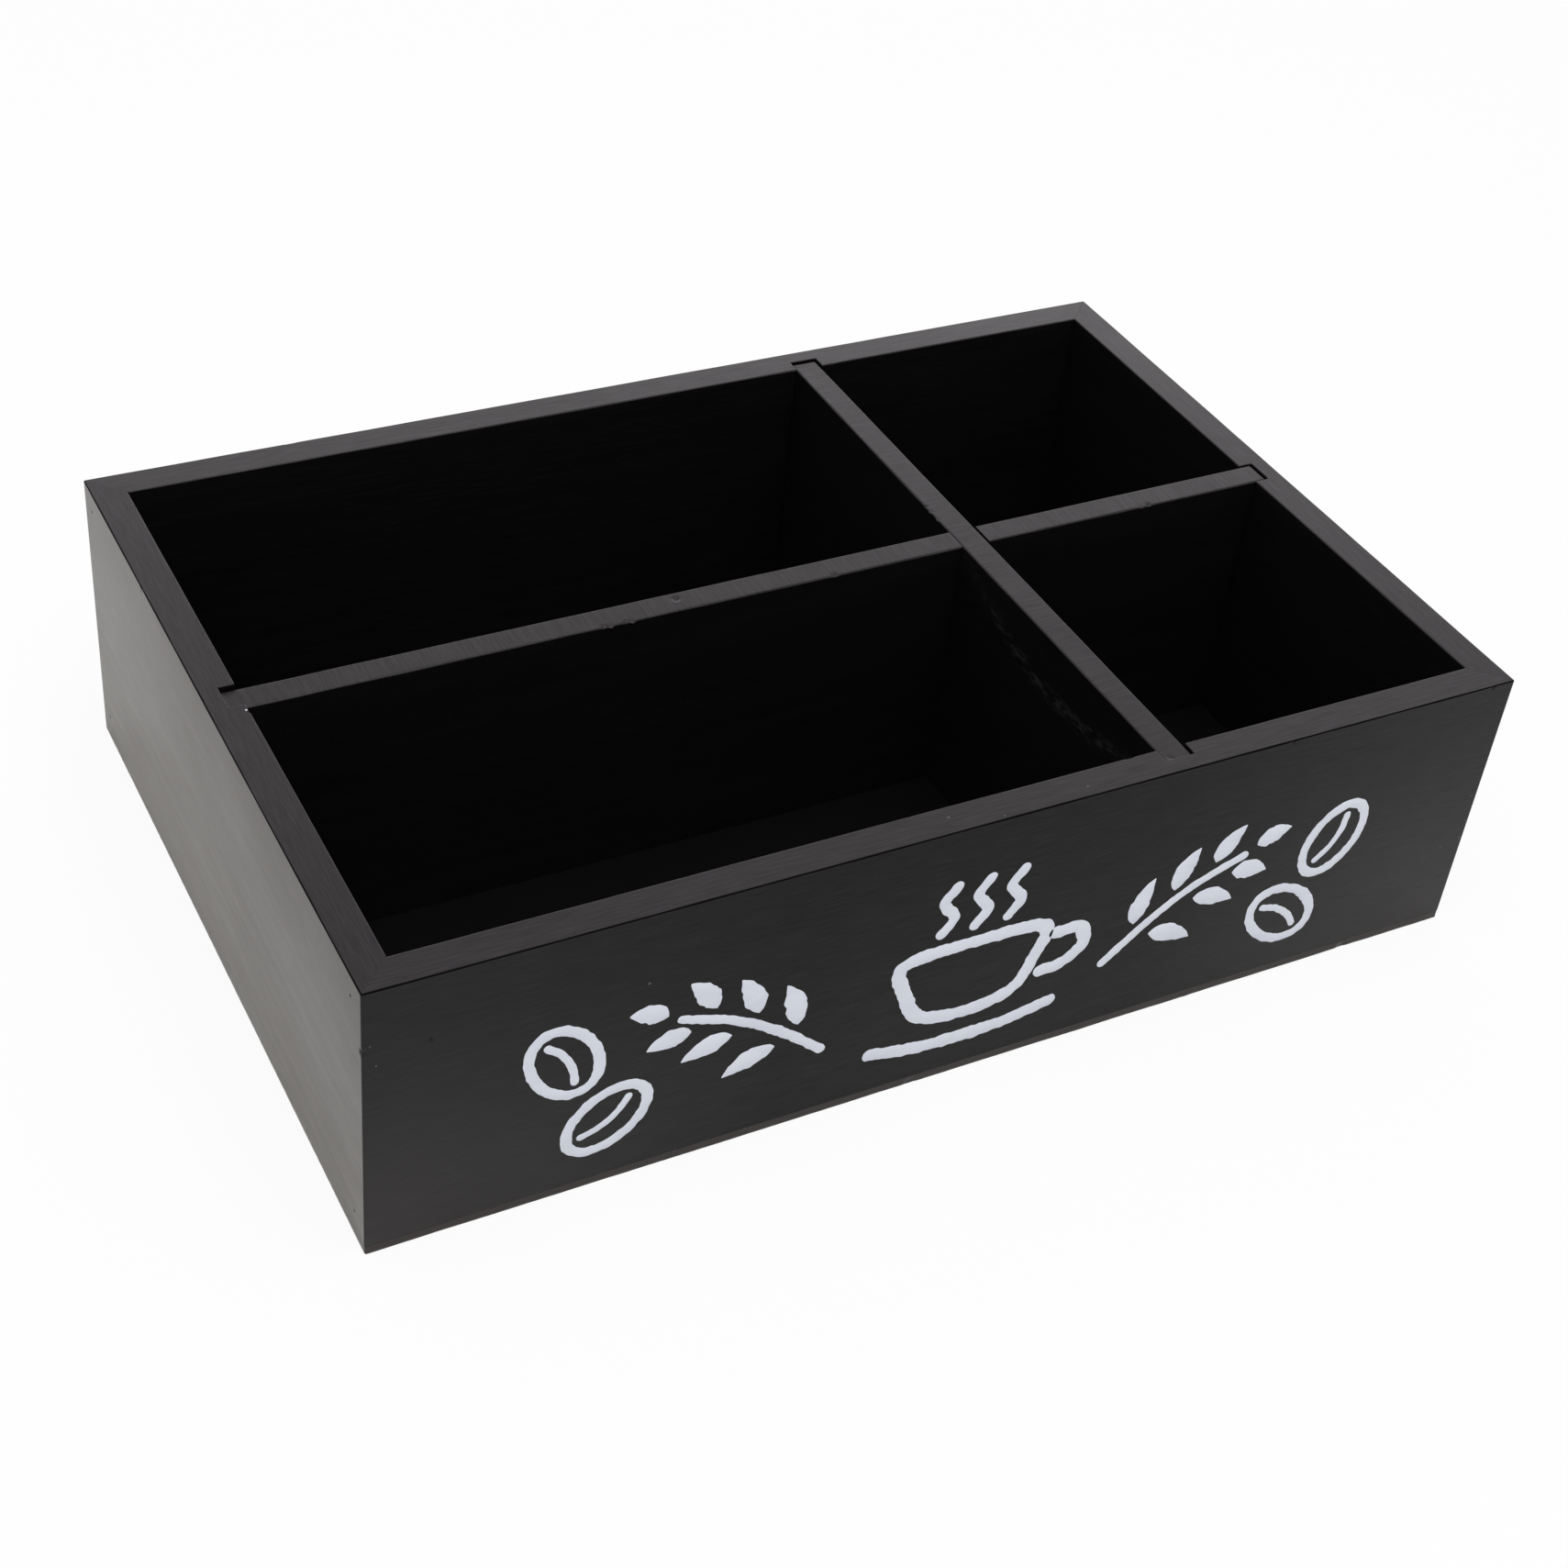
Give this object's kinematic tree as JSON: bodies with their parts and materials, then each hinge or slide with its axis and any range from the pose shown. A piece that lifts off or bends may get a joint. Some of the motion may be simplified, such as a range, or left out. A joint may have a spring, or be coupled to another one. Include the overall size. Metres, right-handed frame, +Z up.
{
  "type": "coffee station organizer",
  "caption": "Open rectangular wooden tray for a coffee station, painted black, with lapped lift-out dividers that part it into compartments.",
  "frame": {"origin": "middle of the tray's underside", "axes": "+X to the right along the tray's length, -Y towards the front face with the painted motif, +Z up"},
  "size_m": [0.3, 0.2, 0.079],
  "materials": {
    "painted_board": "satin black paint on solid wood",
    "painted_panel": "thin black paint on a thin wooden sheet",
    "painted_divider": "satin black paint on solid wood",
    "fastener_wire": "galvanised wire",
    "white_motif": "white stencil paint"
  },
  "bodies": {
    "tray": {"front_board": "painted_board", "back_board": "painted_board", "left_board": "painted_board", "right_board": "painted_board", "bottom_panel": "painted_panel", "corner_brads": "fastener_wire", "bottom_staples": "fastener_wire"},
    "long_divider": {"long_divider": "painted_divider"},
    "short_divider": {"short_divider": "painted_divider"}
  },
  "joints": [
    {"name": "long_divider_lift", "type": "slide", "parent": "tray", "child": "long_divider", "axis": [0, 0, 1], "range_m": [0, 0.085]},
    {"name": "short_divider_lift", "type": "slide", "parent": "long_divider", "child": "short_divider", "axis": [0, 0, 1], "range_m": [0, 0.085]}
  ]
}
